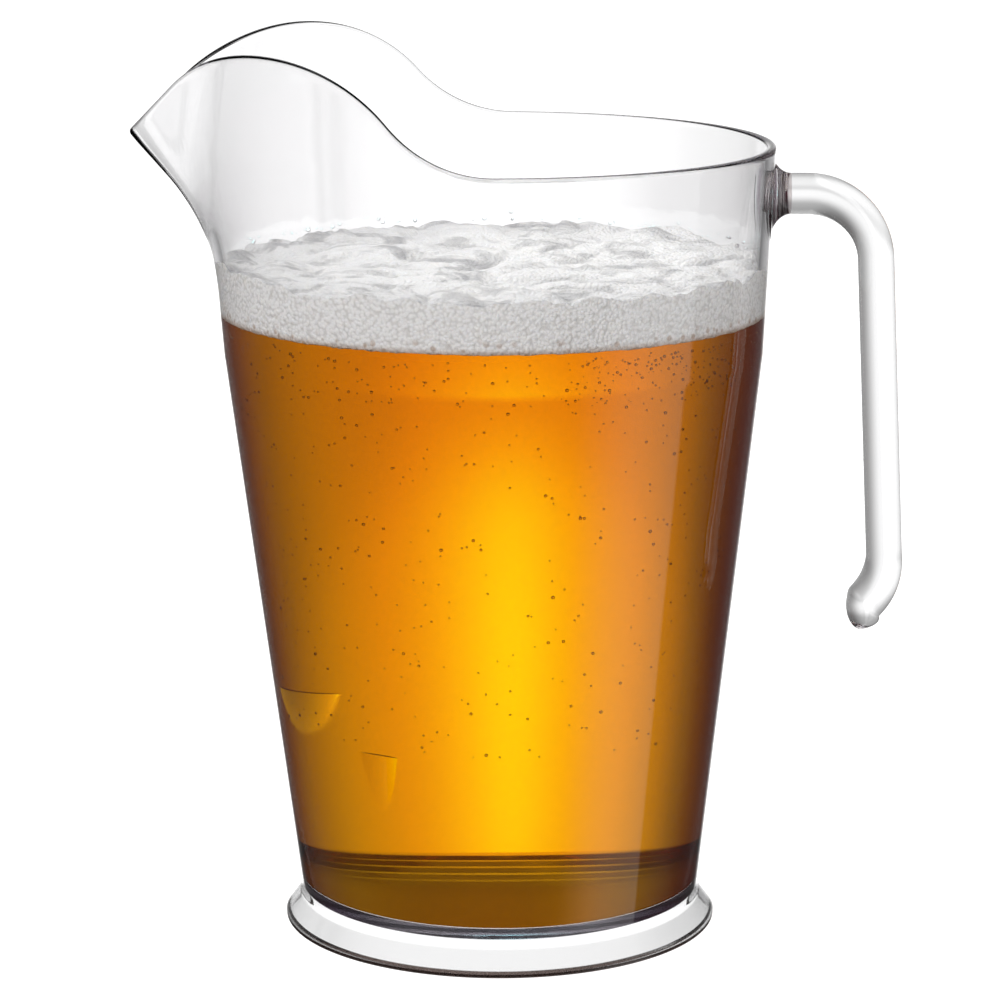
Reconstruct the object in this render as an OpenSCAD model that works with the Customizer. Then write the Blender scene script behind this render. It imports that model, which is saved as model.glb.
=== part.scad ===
// Clear stacking beer jug of the four-pint class, filled with beer under a head of foam.
// Millimetres, +Z up. The jug stands on the ground plane, its spout points to -X and its handle
// to +X, and the plane through both is its mirror plane. Heights are measured from the table and
// azimuths from the spout's direction, seen from the leaning centre of the body.

/* [Body] */
// Outer diameter of the rim where it is level
rim_d = 148.4; // [130:0.1:170]
// Height of the level part of the rim
rim_h = 208; // [190:0.5:240]
// How far the centre of the rim leans from the centre of the foot towards the spout
rim_lean = 2.5; // [0:0.1:8]
// How much further out the wall stands at the rim than at its shoulder, where it bends
shoulder_in = 3.5; // [1:0.1:6]
// Distance from the start of the beak down to the shoulder
shoulder_drop = 14.5; // [8:0.5:30]
// How far the centre of the shoulder leans towards the spout
shoulder_lean = 1.6; // [0:0.1:6]
// Outer diameter of the wall where it meets the foot
seat_d = 106.4; // [90:0.1:120]
// Height at which the wall meets the foot
seat_h = 9; // [7:0.1:14]
// Thickness of the wall
wall_t = 2.5; // [1.5:0.1:3.5]
// Thickness of the floor
floor_t = 2.5; // [1.5:0.1:4]
// Inner fillet between the floor and the wall
floor_fillet = 2; // [0.5:0.1:5]
// How far the rounded top of the rim rises over its edges
lip_round = 0.9; // [0.3:0.1:1.5]

/* [Hood] */
// Rise of the hood's crest over the level rim
hood_h = 26.8; // [15:0.1:35]
// Distance of the crest ahead of the jug's axis
crest_x = 57; // [50:0.1:62]
// Radius of the crest's front, where it turns down to the beak
crest_front_r = 38; // [34:0.1:42]
// Radius of the crest's back, where it turns down to the level rim
crest_back_r = 42.2; // [36:0.1:46]
// Radius of the concave sweep between the level rim and the crest
sweep_r = 34.5; // [28:0.1:40]
// Slope of the rim in front of the crest, in degrees
brow_angle = 45.4; // [38:0.1:50]

/* [Beak] */
// Height at which the beak starts to leave the wall
beak_h = 168; // [165:0.5:185]
// Radius of the bend in which the beak leaves the wall
beak_bend_r = 50; // [30:0.5:60]
// Angle between the straight end of the beak and the wall
beak_angle = 38.8; // [25:0.1:45]
// Azimuth over which the beak fades into the wall, in degrees
spread_angle = 7; // [4:0.1:12]
// Azimuth over which the beak's ridge is rounded, in degrees
nose_angle = 1.5; // [0.8:0.1:4]

/* [Stacking lugs] */
// Number of lugs inside the wall, the first one under the handle
lug_count = 3; // [2:1:6]
// Height of the ledge on top of the lugs
lug_h = 57; // [45:0.5:80]
// Height over which a lug grows out of the wall
lug_rise = 15; // [10:0.5:28]
// Width of a lug at its ledge
lug_w = 11; // [6:0.5:20]

/* [Foot] */
// Outer diameter of the foot
foot_d = 115.2; // [108:0.2:130]
// Thickness of the foot's skirt
skirt_t = 2.2; // [1.5:0.1:3.5]
// Height of the upright band at the foot's edge
land_h = 1; // [0.5:0.1:4]
// Height of the fillet where the skirt meets the wall
skirt_fillet_h = 1.6; // [0.5:0.1:4]
// Rounding of the foot's lower edges
foot_edge_r = 0.2; // [0.1:0.1:0.4]

/* [Handle] */
// Distance from the level rim down to the middle of the handle's root
root_drop = 13; // [12:0.5:60]
// Straight run of the root between the boss and the upper bend
root_l = 4.6; // [0:0.1:15]
// Centre-line radius of the upper bend
bend_r = 17.8; // [14:0.1:25]
// Length of the straight grip
grip_l = 78.9; // [60:0.1:110]
// Outward slope of the grip, in degrees
grip_angle = 2.7; // [0:0.1:6]
// Centre-line radius of the hook at the lower end
hook_r = 17.5; // [12:0.1:25]
// Angle through which the hook turns inward
hook_angle = 44.3; // [30:0.1:60]
// Straight end of the hook, before its rounded tip
hook_l = 0.9; // [0.5:0.1:8]
// Length of the rounded tip
tip_l = 7.6; // [3:0.1:10]
// How far the rounded tip turns back down, in degrees
tip_turn_angle = 32; // [0:1:45]
// Diameter of the handle at its root
root_t = 10.8; // [8:0.1:13]
// Thickness of the grip, seen from the side
grip_t = 9.6; // [7:0.1:13]
// Width of the grip, seen from behind the handle
grip_w = 12.6; // [9:0.1:18]
// Thickness of the hook, seen from the side
hook_t = 11; // [7:0.1:13]

/* [Handle boss] */
// Diameter of the trumpet-shaped boss where it meets the wall
boss_d = 26; // [18:0.5:30]
// Distance from the wall to the joint between boss and handle
boss_l = 4.5; // [4:0.1:12]
// Length of the boss's flare, which the wall cuts into
flare_l = 5.3; // [4:0.1:12]

/* [Contents] */
// Height of the beer's surface
beer_h = 164.5; // [80:0.5:168]
// Thickness of the head of foam
foam_t = 12.5; // [5:0.5:20]
// Height of the lumps on top of the foam
lump_h = 0.9; // [0:0.1:2]
// Distance from lump to lump
lump_pitch = 38; // [20:1:60]
// Gap that keeps the contents clear of the wall
fill_gap = 0.1; // [0.05:0.05:0.3]

/* [Hidden] */
$fn = 96;

// Steps round the body, and how much closer they stand at the beak than at the back
turns = 96;
bunch_share = 0.62;
// Rings on the hood, on half of the lip and on the floor's fillet
hood_rings = 11;
lip_rings = 2;
fillet_rings = 3;
// Sides and rings of the handle
rod_sides = 28;
bend_rings = 14;
hook_rings = 12;
tip_rings = 6;
// How far round its quarter turn the rounded tip goes, in degrees, and how pointed it is
tip_angle = 84;
tip_share = 1.35;
// Rings across the top of the foam, and up the contents beside the beak
foam_rings = 9;
fill_rings = 3;
// Rings on the body's outer shape over the start of the beak
block_rings = 4;
// Halvings that find the height of the rim
halvings = 22;
// Overrun of a solid into the one that it is cut by or joined to
overrun = 1;

rim_r = rim_d / 2;
shoulder_r = rim_r - shoulder_in;
shoulder_h = beak_h - shoulder_drop;
seat_r = seat_d / 2;
foot_r = foot_d / 2;
floor_h = seat_h + floor_t;
foam_h = beer_h + foam_t;

// Azimuths of the body's points. They stand closest together at the beak
function turn(i) = let (u = 2 * i / turns - 1) 180 * u - bunch_share * 180 / PI * sin(180 * u);
azimuths = [for (i = [0 : turns - 1]) turn(i)];

function mix(a, b, share) = a + (b - a) * share;

// How far up the wall's two parts a height lies. The hood stands upright over the level rim
function below_share(z) = min(1, max(0, (z - seat_h) / (shoulder_h - seat_h)));
function above_share(z) = min(1, max(0, (z - shoulder_h) / (rim_h - shoulder_h)));
function wall_r(z) =
    seat_r + (shoulder_r - seat_r) * below_share(z) + (rim_r - shoulder_r) * above_share(z);
function lean(z) = shoulder_lean * below_share(z) + (rim_lean - shoulder_lean) * above_share(z);

// How far the ridge of the beak stands out of the wall: a bend, then a straight run
function reach(z) =
    let (up = z - beak_h, bend = beak_bend_r * sin(beak_angle))
    up <= 0 ? 0
    : up < bend ? beak_bend_r - sqrt(beak_bend_r ^ 2 - up ^ 2)
    : beak_bend_r * (1 - cos(beak_angle)) + (up - bend) * tan(beak_angle);

// How much of that reach is left at an azimuth, and how fast it falls off
function nose(a) = sqrt(a ^ 2 + nose_angle ^ 2);
function beak_share(a) = exp((nose_angle - nose(a)) / spread_angle);
function flank_slope(a, z) =
    reach(z) * beak_share(a) * a / nose(a) / spread_angle * 180 / PI / wall_r(z);

// Radius of the wall at an azimuth and height, a given thickness inside its outer face
function skin_r(a, z, inset) =
    wall_r(z) + reach(z) * beak_share(a) - inset * sqrt(1 + flank_slope(a, z) ^ 2);
function skin(a, z, inset) =
    let (r = skin_r(a, z, inset)) [-lean(z) - r * cos(a), r * sin(a), z];

// Side view of the rim: level, a concave sweep, a convex crest and a straight brow
sweep_up = sweep_r - hood_h + crest_back_r;
sweep_x = -crest_x + sqrt((crest_back_r + sweep_r) ^ 2 - sweep_up ^ 2);
turn_x = mix(-crest_x, sweep_x, crest_back_r / (crest_back_r + sweep_r));
brow_x = -crest_x - crest_front_r * sin(brow_angle);
brow_h = hood_h - crest_front_r * (1 - cos(brow_angle));
function rim_line(x) = rim_h + (
    x >= sweep_x ? 0
    : x >= turn_x ? sweep_r - sqrt(sweep_r ^ 2 - (x - sweep_x) ^ 2)
    : x >= -crest_x ? hood_h - crest_back_r + sqrt(crest_back_r ^ 2 - (x + crest_x) ^ 2)
    : x >= brow_x ? hood_h - crest_front_r + sqrt(crest_front_r ^ 2 - (x + crest_x) ^ 2)
    : brow_h + (x - brow_x) * tan(brow_angle));

// Height at which the wall meets the rim line, found by halving the span between two heights
function rim_top(a, inset, low = rim_h - hood_h, high = rim_h + 2 * hood_h, n = halvings) =
    let (mid = (low + high) / 2)
    n == 0 ? mid
    : mid > rim_line(skin(a, mid, inset).x) ? rim_top(a, inset, low, mid, n - 1)
    : rim_top(a, inset, mid, high, n - 1);

// One ring of points round the body, at one height or at a height for each azimuth
function level_ring(z, inset) = [for (a = azimuths) skin(a, z, inset)];
function hood_ring(share, inset) =
    [for (a = azimuths) skin(a, mix(beak_h, rim_top(a, inset) - lip_round, share), inset)];

// A point of the rounded lip, from its outer edge at 0 degrees to its inner edge at 180
function lip_point(a, t) =
    let (inset = wall_t * (1 - cos(t)) / 2)
    skin(a, rim_top(a, inset) - lip_round * (1 - sin(t)), inset);

outer_rings = concat([for (z = [seat_h, shoulder_h, beak_h]) level_ring(z, 0)],
    [for (k = [1 : hood_rings]) hood_ring(k / hood_rings, 0)]);
lip_ring_list = [for (k = [1 : 2 * lip_rings - 1])
    [for (a = azimuths) lip_point(a, 90 * k / lip_rings)]];

// Heights between two levels at which the inside bends: the shoulder, and some beside the beak
function fill_levels(low, high) = concat(
    [if (shoulder_h > low && shoulder_h < high) shoulder_h],
    [for (k = [0 : fill_rings - 1]) let (z = mix(beak_h, high, k / fill_rings))
        if (z > low && z < high) z],
    [high]);

// The inside of the jug from its floor up to a height, drawn in by a gap
function cavity_rings(top_z, gap) = concat(
    [for (k = [fillet_rings : -1 : 0]) let (t = 90 * k / fillet_rings)
        level_ring(floor_h + gap + floor_fillet * (1 - sin(t)),
            wall_t + gap + floor_fillet * (1 - cos(t)))],
    [for (z = fill_levels(floor_h + floor_fillet, top_z)) level_ring(z, wall_t + gap)]);
function reversed(rings) = [for (k = [len(rings) - 1 : -1 : 0]) rings[k]];

inner_rings = concat(cavity_rings(beak_h, 0),
    [for (k = [1 : hood_rings]) hood_ring(k / hood_rings, wall_t)]);

// A closed solid through a stack of rings, from a flat first ring to a flat last ring. Seen along
// the stack, the points of a ring go round counterclockwise
module ring_stack(rings) {
    n = len(rings[0]);
    last = len(rings) - 1;
    faces = concat(
        [[for (i = [n - 1 : -1 : 0]) i]],
        [for (k = [0 : last - 1], i = [0 : n - 1])
            let (j = (i + 1) % n) [k * n + i, (k + 1) * n + j, (k + 1) * n + i]],
        [for (k = [0 : last - 1], i = [0 : n - 1])
            let (j = (i + 1) % n) [k * n + i, k * n + j, (k + 1) * n + j]],
        [[for (i = [0 : n - 1]) last * n + i]]);
    polyhedron(points = [for (ring = rings) each ring], faces = faces, convexity = 6);
}

// The handle's root stands on the wall at the end of the boss
handle_h = rim_h - root_drop;
boss_x = wall_r(handle_h) - lean(handle_h) + boss_l;

// The centre line of the handle lies in the mirror plane: root, bend, grip, hook and tip
bend_x = boss_x + root_l;
bend_h = handle_h - bend_r;
grip_top = [bend_x + bend_r * cos(grip_angle), bend_h + bend_r * sin(grip_angle)];
grip_end = grip_top + grip_l * [sin(grip_angle), -cos(grip_angle)];
hook_c = grip_end - hook_r * [cos(grip_angle), sin(grip_angle)];
hook_dir = grip_angle - hook_angle;
hook_end = hook_c + hook_r * [cos(hook_dir), sin(hook_dir)];
tip_start = hook_end + hook_l * [sin(hook_dir), -cos(hook_dir)];

// A ring of the handle: its centre, the direction of its outer side, its thickness and width
function rod_ring(c, dir, t, w) = [for (i = [0 : rod_sides - 1])
    let (u = 360 * i / rod_sides, s = t / 2 * cos(u))
    [c.x + s * cos(dir), w / 2 * sin(u), c.y + s * sin(dir)]];

function smooth(share) = (1 - cos(180 * share)) / 2;

root_rings = [rod_ring([boss_x, handle_h], 90, root_t, root_t)];
bend_ring_list = [for (k = [0 : bend_rings])
    let (share = k / bend_rings, dir = mix(90, grip_angle, share))
    rod_ring([bend_x, bend_h] + bend_r * [cos(dir), sin(dir)], dir,
        mix(root_t, grip_t, smooth(share)), mix(root_t, grip_w, smooth(share)))];
hook_ring_list = [for (k = [0 : hook_rings])
    let (share = k / hook_rings, dir = mix(grip_angle, hook_dir, share))
    rod_ring(hook_c + hook_r * [cos(dir), sin(dir)], dir,
        mix(grip_t, hook_t, sin(90 * share)), grip_w)];
tip_dir = hook_dir + tip_turn_angle;
tip_ring_list = [for (k = [0 : tip_rings])
    let (t = tip_angle * k / tip_rings, s = cos(t) ^ tip_share, d = sin(t))
    rod_ring(tip_start + d * tip_l * [sin(tip_dir), -cos(tip_dir)], mix(hook_dir, tip_dir, d),
        hook_t * s, grip_w * s)];
handle_rings = concat(root_rings, bend_ring_list, hook_ring_list, tip_ring_list);

// The origin lies midway between the beak's tip and the outer side of the handle
tip_x = min([for (k = [0 : 2 * lip_rings]) lip_point(0, 90 * k / lip_rings).x]);
back_x = max([for (ring = handle_rings, p = ring) p.x]);
module placed() {
    translate([-(tip_x + back_x) / 2, 0, 0])
        children();
}

// A stacking lug is part of an upright cylinder, so it narrows downwards and runs out where the
// wall has drawn in
lug_foot_h = lug_h - lug_rise;
lug_face_r = wall_r(lug_foot_h) - wall_t;
lug_top_r = wall_r(lug_h) - wall_t;
lug_sag = lug_top_r - sqrt(lug_top_r ^ 2 - (lug_w / 2) ^ 2);
lug_depth = lug_top_r - lug_face_r - lug_sag;
lug_r = ((lug_w / 2) ^ 2 + lug_depth ^ 2) / (2 * lug_depth);
module lugs(gap) {
    low = lug_foot_h - 2 * overrun;
    high = lug_h + gap;
    intersection() {
        translate([-lean(lug_h), 0, low])
            for (i = [0 : lug_count - 1])
                rotate([0, 0, 360 / lug_count * i])
                    translate([lug_face_r + lug_r, 0, 0])
                        cylinder(r = lug_r + gap, h = high - low);
        ring_stack([level_ring(low, wall_t / 2), level_ring(high, wall_t / 2)]);
    }
}

// Wall, floor, hood, beak and lugs: one moulding
module jug_body() {
    color([0.86, 0.88, 0.9, 0.4])
        placed()
            union() {
                ring_stack(concat(outer_rings, lip_ring_list, reversed(inner_rings)));
                lugs(0);
            }
}

// The skirt runs straight up from the land and ends in a fillet at the wall
skirt_top = [seat_r, seat_h];
skirt_bend = [seat_r, seat_h - skirt_fillet_h];
skirt_run = mix([foot_r, land_h], skirt_bend, 1 - skirt_fillet_h / (seat_h - land_h));
function skirt_fillet(t) = mix(mix(skirt_run, skirt_bend, t), mix(skirt_bend, skirt_top, t), t);
function foot_corner(r, side, t) =
    [r + side * foot_edge_r * (sin(t) - 1), foot_edge_r * (1 - cos(t))];
module foot_ring() {
    color([0.9, 0.91, 0.93, 0.5])
        placed()
            rotate_extrude()
                polygon(concat(
                    [for (t = [0 : 30 : 90]) foot_corner(foot_r, 1, t)],
                    [[foot_r, land_h]],
                    [for (t = [0 : 0.25 : 1]) skirt_fillet(t)],
                    [for (t = [1 : -0.25 : 0]) skirt_fillet(t) - [skirt_t, 0]],
                    [[foot_r - skirt_t, land_h]],
                    [for (t = [90 : -30 : 0]) foot_corner(foot_r - skirt_t, -1, t)]));
}

// The body's outer shape without its inside, up to the level rim
module body_block() {
    ring_stack(concat([for (z = [seat_h, shoulder_h, beak_h]) level_ring(z, 0)],
        [for (k = [1 : block_rings]) level_ring(mix(beak_h, rim_h, k / block_rings), 0)]));
}

// The flare is a quarter of an ellipse from the wall to the handle's root
module handle_boss() {
    flare_h = (boss_d - root_t) / 2;
    color([0.9, 0.91, 0.93, 0.5])
        placed()
            difference() {
                translate([boss_x, 0, handle_h])
                    rotate([0, -90, 0])
                        rotate_extrude()
                            polygon(concat([[0, 0]],
                                [for (t = [90 : -15 : 0])
                                    [boss_d / 2 - flare_h * sin(t), flare_l * cos(t)]],
                                [[boss_d / 2, flare_l + overrun], [0, flare_l + overrun]]));
                body_block();
            }
}

module handle() {
    color([0.93, 0.93, 0.94, 0.8])
        placed()
            ring_stack(handle_rings);
}

// The beer fills the jug from its floor to the foam, round the lugs
module beer() {
    color([0.98, 0.66, 0.05])
        placed()
            difference() {
                ring_stack(cavity_rings(beer_h, fill_gap));
                lugs(fill_gap);
            }
}

// Lumps on the foam are two crossed waves, which die out towards its edge and its centre
function lump(x, y) =
    let (u = 360 * x / lump_pitch, v = 360 * y / lump_pitch)
    (sin(u + 60 * sin(v)) + cos(1.3 * v - 50 * cos(0.7 * u))) / 2;
function foam_ring(share) =
    let (fade = sin(180 * sqrt(share)), centre = [-lean(foam_h), 0, foam_h])
    [for (a = azimuths)
        let (p = mix(centre, skin(a, foam_h, wall_t + fill_gap), share))
        p + [0, 0, lump_h * fade * lump(p.x, p.y)]];
module foam_head() {
    color([0.97, 0.95, 0.9])
        placed()
            ring_stack(concat([level_ring(beer_h, wall_t + fill_gap)],
                [for (z = fill_levels(beer_h, foam_h)) level_ring(z, wall_t + fill_gap)],
                [for (k = [foam_rings - 1 : -1 : 1]) foam_ring((k / foam_rings) ^ 1.2)]));
}

jug_body();
foot_ring();
handle_boss();
handle();
beer();
foam_head();
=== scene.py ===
import math

import bpy
import numpy as np
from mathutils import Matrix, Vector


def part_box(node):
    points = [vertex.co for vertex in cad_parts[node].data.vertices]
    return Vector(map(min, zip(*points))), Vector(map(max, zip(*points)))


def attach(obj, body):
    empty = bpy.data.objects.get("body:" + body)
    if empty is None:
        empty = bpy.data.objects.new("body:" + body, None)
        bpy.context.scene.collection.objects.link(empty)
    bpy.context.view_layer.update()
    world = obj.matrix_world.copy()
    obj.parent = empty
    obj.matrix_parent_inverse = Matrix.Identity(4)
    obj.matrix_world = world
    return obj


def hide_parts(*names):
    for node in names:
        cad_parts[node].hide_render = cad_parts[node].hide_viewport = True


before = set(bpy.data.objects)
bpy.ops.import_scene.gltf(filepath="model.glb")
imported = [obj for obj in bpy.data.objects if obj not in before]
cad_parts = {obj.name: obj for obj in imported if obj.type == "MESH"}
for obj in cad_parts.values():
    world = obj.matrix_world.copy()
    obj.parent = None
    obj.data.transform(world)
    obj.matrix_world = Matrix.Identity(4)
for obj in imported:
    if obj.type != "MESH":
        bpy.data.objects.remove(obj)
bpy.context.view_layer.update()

# Driving sizes of the body, in millimetres and degrees
rim_d = 148.4
rim_h = 208.0
rim_lean = 2.5
shoulder_in = 3.5
shoulder_drop = 14.5
shoulder_lean = 1.6
seat_d = 106.4
seat_h = 9.0
wall_t = 2.5
floor_t = 2.5
floor_fillet = 0.7
lip_round = 0.9

# The hood and the beak
hood_h = 26.8
crest_x = 57.0
crest_front_r = 38.0
crest_back_r = 42.2
sweep_r = 34.5
brow_angle = math.radians(45.4)
beak_h = 168.0
beak_bend_r = 50.0
beak_angle = math.radians(38.8)
spread_angle = 7.0
nose_angle = 1.5

# The stacking lugs
lug_count = 3
lug_h = 57.0
lug_rise = 15.0
lug_w = 11.0

# The foot, the handle and its boss
foot_d = 115.2
skirt_t = 2.2
land_h = 1.0
skirt_fillet_h = 1.6
foot_edge_r = 0.2
root_drop = 13.0
root_l = 4.6
bend_r = 17.8
grip_l = 78.9
grip_angle = math.radians(2.7)
hook_r = 17.5
hook_angle = math.radians(44.3)
hook_l = 0.9
tip_l = 7.6
tip_turn_angle = math.radians(32.0)
tip_share = 1.35
root_t = 10.8
grip_t = 9.6
grip_w = 12.6
hook_t = 11.0
boss_d = 26.0
boss_l = 4.5
flare_l = 5.3

# The contents. They bite a little way into the wall, so that no film of air lies between
beer_h = 164.5
foam_t = 12.5
bite = 0.05
# A hair of air at a joint between two clear pieces, which shows as a thin dark line
joint_gap = 0.03

rim_r = rim_d / 2
shoulder_r = rim_r - shoulder_in
shoulder_h = beak_h - shoulder_drop
seat_r = seat_d / 2
foot_r = foot_d / 2
floor_h = seat_h + floor_t
foam_h = beer_h + foam_t

foot_low, foot_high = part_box("foot_ring")
jug_x = (foot_low[0] + foot_high[0]) / 2 * 1000


# Small helpers for the shapes
def mix(a, b, share):
    return a + (b - a) * share


def smooth(share):
    return (1 - np.cos(np.pi * share)) / 2


def value_noise(x, y, pitch, seed):
    """Soft bumps between -1 and 1, of a pitch in millimetres, from a table with its own seed."""
    side = 64
    table = np.random.default_rng(seed).uniform(-1, 1, (side, side))
    u, v = x / pitch + 31.7, y / pitch + 17.3
    i, j = np.floor(u).astype(int), np.floor(v).astype(int)
    s, t = u - i, v - j
    s, t = s * s * (3 - 2 * s), t * t * (3 - 2 * t)
    pick = lambda di, dj: table[(i + di) % side, (j + dj) % side]
    low = mix(pick(0, 0), pick(1, 0), s)
    high = mix(pick(0, 1), pick(1, 1), s)
    return mix(low, high, t)


# The jug's wall, by height and by azimuth from the spout. It bends at its shoulder
def below_share(z):
    return np.clip((z - seat_h) / (shoulder_h - seat_h), 0, 1)


def above_share(z):
    return np.clip((z - shoulder_h) / (rim_h - shoulder_h), 0, 1)


def wall_r(z):
    return (seat_r + (shoulder_r - seat_r) * below_share(z)
            + (rim_r - shoulder_r) * above_share(z))


def lean(z):
    return shoulder_lean * below_share(z) + (rim_lean - shoulder_lean) * above_share(z)


def reach(z):
    """How far the beak's ridge stands out of the wall at a height."""
    up = z - beak_h
    bend = beak_bend_r * math.sin(beak_angle)
    arc = beak_bend_r - np.sqrt(np.maximum(beak_bend_r ** 2 - np.clip(up, 0, bend) ** 2, 0))
    return arc + np.maximum(up - bend, 0) * math.tan(beak_angle)


def beak_share(a):
    return np.exp((nose_angle - np.hypot(a, nose_angle)) / spread_angle)


def skin_r(a, z, inset):
    stand = reach(z) * beak_share(a)
    slope = stand * a / np.hypot(a, nose_angle) / spread_angle * 180 / np.pi / wall_r(z)
    return wall_r(z) + stand - inset * np.sqrt(1 + slope ** 2)


def skin(a, z, inset=0.0):
    """Points of the wall, a given thickness inside its outer face."""
    a, z = np.broadcast_arrays(np.asarray(a, float), np.asarray(z, float))
    r = skin_r(a, z, inset)
    t = np.radians(a)
    return np.stack([-lean(z) - r * np.cos(t), r * np.sin(t), z], axis=-1)


sweep_up = sweep_r - hood_h + crest_back_r
sweep_x = -crest_x + math.sqrt((crest_back_r + sweep_r) ** 2 - sweep_up ** 2)
turn_x = mix(-crest_x, sweep_x, crest_back_r / (crest_back_r + sweep_r))
brow_x = -crest_x - crest_front_r * math.sin(brow_angle)
brow_h = hood_h - crest_front_r * (1 - math.cos(brow_angle))


def rim_line(x):
    """Side view of the rim: level, a concave sweep, a convex crest and a straight brow."""
    arc = lambda r, d: np.sqrt(np.maximum(r ** 2 - d ** 2, 0))
    rise = np.select(
        [x >= sweep_x, x >= turn_x, x >= -crest_x, x >= brow_x],
        [0 * x, sweep_r - arc(sweep_r, x - sweep_x),
         hood_h - crest_back_r + arc(crest_back_r, x + crest_x),
         hood_h - crest_front_r + arc(crest_front_r, x + crest_x)],
        brow_h + (x - brow_x) * math.tan(brow_angle))
    return rim_h + rise


def rim_top(a, inset):
    """Height at which the wall meets the rim line, by halving."""
    low = np.full(len(a), rim_h - hood_h)
    high = np.full(len(a), rim_h + 2 * hood_h)
    for _ in range(34):
        mid = (low + high) / 2
        over = mid > rim_line(skin(a, mid, inset)[:, 0])
        high, low = np.where(over, mid, high), np.where(over, low, mid)
    return (low + high) / 2


# Azimuths of the mesh columns: close together at the beak and at the edges of the lugs
beak_crowding_share = 0.62
lug_step = 0.3
lug_spread = 8.0
lug_azimuths = [180 - 360 / lug_count * k for k in range(lug_count)]


def turned(a, centre):
    """An azimuth measured from another, between -180 and 180 degrees."""
    return (a - centre + 180) % 360 - 180


def columns(turns):
    u = 2 * np.arange(turns) / turns - 1
    base = 180 * u - beak_crowding_share * 180 / np.pi * np.sin(np.pi * u)
    clear = np.all([np.abs(turned(base, c)) > lug_spread for c in lug_azimuths], axis=0)
    fine = [turned(np.arange(-lug_spread, lug_spread + lug_step / 2, lug_step) + c, 0)
            for c in lug_azimuths]
    return np.unique(np.round(np.concatenate([base[clear]] + fine), 5))


# A lug is part of an upright cylinder: its face stands straight up, so it narrows downwards and
# runs out where the wall has drawn in
lug_foot_h = lug_h - lug_rise
lug_face_r = wall_r(lug_foot_h) - wall_t
lug_top_r = wall_r(lug_h) - wall_t
lug_sag = lug_top_r - math.sqrt(lug_top_r ** 2 - (lug_w / 2) ** 2)
lug_depth = lug_top_r - lug_face_r - lug_sag
lug_r = ((lug_w / 2) ** 2 + lug_depth ** 2) / (2 * lug_depth)
# A lug is looked for within this angle of its own azimuth
lug_near = math.radians(20)


def lug_inset(a, z):
    """How far a lug stands into the jug at an azimuth and a height, beyond the wall's inside."""
    free = wall_r(z) - wall_t
    axis_r = lug_face_r + lug_r
    stand = np.zeros(np.broadcast(a, z).shape)
    for c in lug_azimuths:
        t = np.radians(turned(a, c))
        side = np.clip(lug_r ** 2 - (axis_r * np.sin(t)) ** 2, 0, None)
        face = axis_r * np.cos(t) - np.sqrt(side)
        hit = (np.abs(t) < lug_near) & (side > 0)
        stand = np.maximum(stand, np.where(hit, free - face, 0))
    return stand


# Making a mesh object from rings of points
def new_object(name, points, faces, sharp=30):
    mesh = bpy.data.meshes.new(name)
    place = (np.asarray(points) + [jug_x, 0, 0]) / 1000
    mesh.from_pydata(place.tolist(), [], faces)
    mesh.update()
    mesh.polygons.foreach_set("use_smooth", [True] * len(mesh.polygons))
    mesh.set_sharp_from_angle(angle=math.radians(sharp))
    thing = bpy.data.objects.new(name, mesh)
    bpy.context.scene.collection.objects.link(thing)
    return thing


def ring_faces(rings, count, capped=True):
    """Faces of a closed stack of rings. Seen along the stack the rings go counterclockwise."""
    faces = []
    for k in range(rings - 1):
        low = k * count
        for i in range(count):
            j = (i + 1) % count
            faces.append((low + i, low + count + i, low + count + j, low + j))
    if capped:
        top = (rings - 1) * count
        faces.append(tuple(range(count)))
        faces.append(tuple(top + i for i in range(count - 1, -1, -1)))
    return faces


def ring_stack(name, rings, sharp=30):
    count = len(rings[0])
    return new_object(name, np.concatenate(rings), ring_faces(len(rings), count), sharp)


# The body: wall, floor, hood, beak and lugs. Between its lugs, its shoulder and its beak the
# wall is straight, so rings of the mesh are needed only near those
lug_lead = 0.4
lug_clear = 2.0
shoulder_round = 3.0
shoulder_below = 6.0
shoulder_above_inside = 5.0
shoulder_above_outside = 8.0
shoulder_rings = shoulder_h + np.linspace(-shoulder_round, shoulder_round, 7)


def inner_rings(az, top_z, inset, floor_rise):
    """The inside of the jug from its floor up to a height below the beak's hood."""
    rings = []
    for t in np.radians(np.linspace(90, 0, 10)):
        draw = floor_fillet * (1 - math.cos(t))
        rings.append(skin(az, floor_h + floor_rise + floor_fillet * (1 - math.sin(t)),
                          inset + draw))
    levels = np.linspace(lug_foot_h - lug_lead, lug_h + wall_t - inset, 48)
    for z in levels:
        rings.append(skin(az, z, inset + lug_inset(az, z)))
    rings.append(skin(az, levels[-1], inset))
    below = np.linspace(levels[-1] + lug_clear, shoulder_h - shoulder_below, 12)
    above = np.linspace(shoulder_h + shoulder_above_inside, top_z, 5)
    for z in np.concatenate([below, shoulder_rings, above]):
        rings.append(skin(az, z, inset))
    return rings


def make_body():
    az = columns(400)
    levels = np.concatenate([np.linspace(seat_h, shoulder_h - shoulder_below, 12),
                             shoulder_rings, [shoulder_h + shoulder_above_outside, beak_h]])
    outside = [skin(az, z) for z in levels]
    outer_top = rim_top(az, 0) - lip_round
    inner_top = rim_top(az, wall_t) - lip_round
    hood = np.linspace(0, 1, 41)[1:]
    outside += [skin(az, mix(beak_h, outer_top, s)) for s in hood]
    lip = []
    for t in np.radians(np.linspace(0, 180, 13))[1:-1]:
        inset = wall_t * (1 - math.cos(t)) / 2
        lip.append(skin(az, rim_top(az, inset) - lip_round * (1 - math.sin(t)), inset))
    inside = inner_rings(az, beak_h, wall_t, 0)
    inside += [skin(az, mix(beak_h, inner_top, s), wall_t) for s in hood]
    return ring_stack("clear_body", outside + lip + inside[::-1])


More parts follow.
